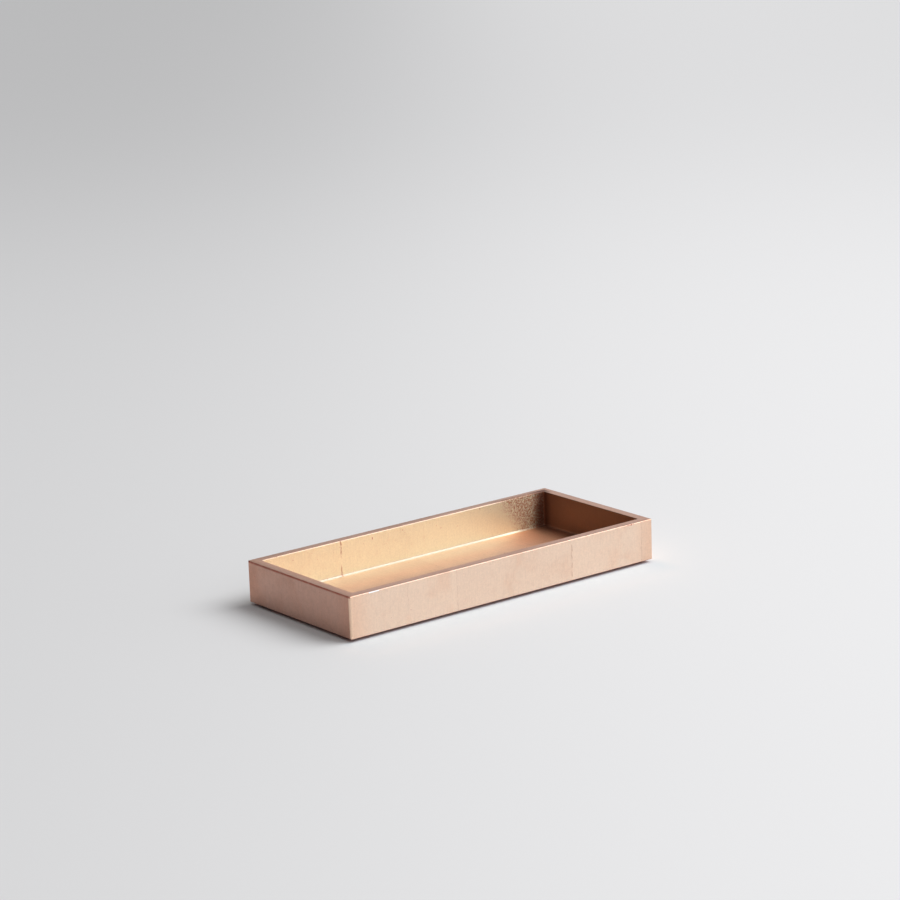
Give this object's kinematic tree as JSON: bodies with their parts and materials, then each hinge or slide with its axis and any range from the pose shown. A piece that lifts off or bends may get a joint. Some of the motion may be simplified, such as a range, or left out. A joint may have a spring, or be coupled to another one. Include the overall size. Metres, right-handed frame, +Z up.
{
  "type": "organizer tray",
  "caption": "Shallow rectangular desk organizer tray with mitred walls, a rebated bottom panel, hidden corner splines and round pads; metal-leaf finish.",
  "frame": {"origin": "centre of the footprint, at the height of the surface that the pads stand on", "axes": "+X along the long sides, to the right seen from the front wall; -Y is the way the front wall faces; +Z up"},
  "size_m": [0.225, 0.1, 0.0269],
  "materials": {
    "rose_gold_leaf": "rose-gold metal leaf over fine board, sealed with satin clear lacquer, with faint overlap seams between the leaves",
    "bare_wood": "unfinished wood, hidden in the mitres",
    "black_rubber": "matt black stick-on pad"
  },
  "bodies": {
    "root": {"front_wall": "rose_gold_leaf", "back_wall": "rose_gold_leaf", "left_wall": "rose_gold_leaf", "right_wall": "rose_gold_leaf", "bottom_panel": "rose_gold_leaf", "corner_spline_front_left": "bare_wood", "corner_spline_front_right": "bare_wood", "corner_spline_back_right": "bare_wood", "corner_spline_back_left": "bare_wood", "pad_front_left": "black_rubber", "pad_front_right": "black_rubber", "pad_back_right": "black_rubber", "pad_back_left": "black_rubber"}
  },
  "joints": []
}
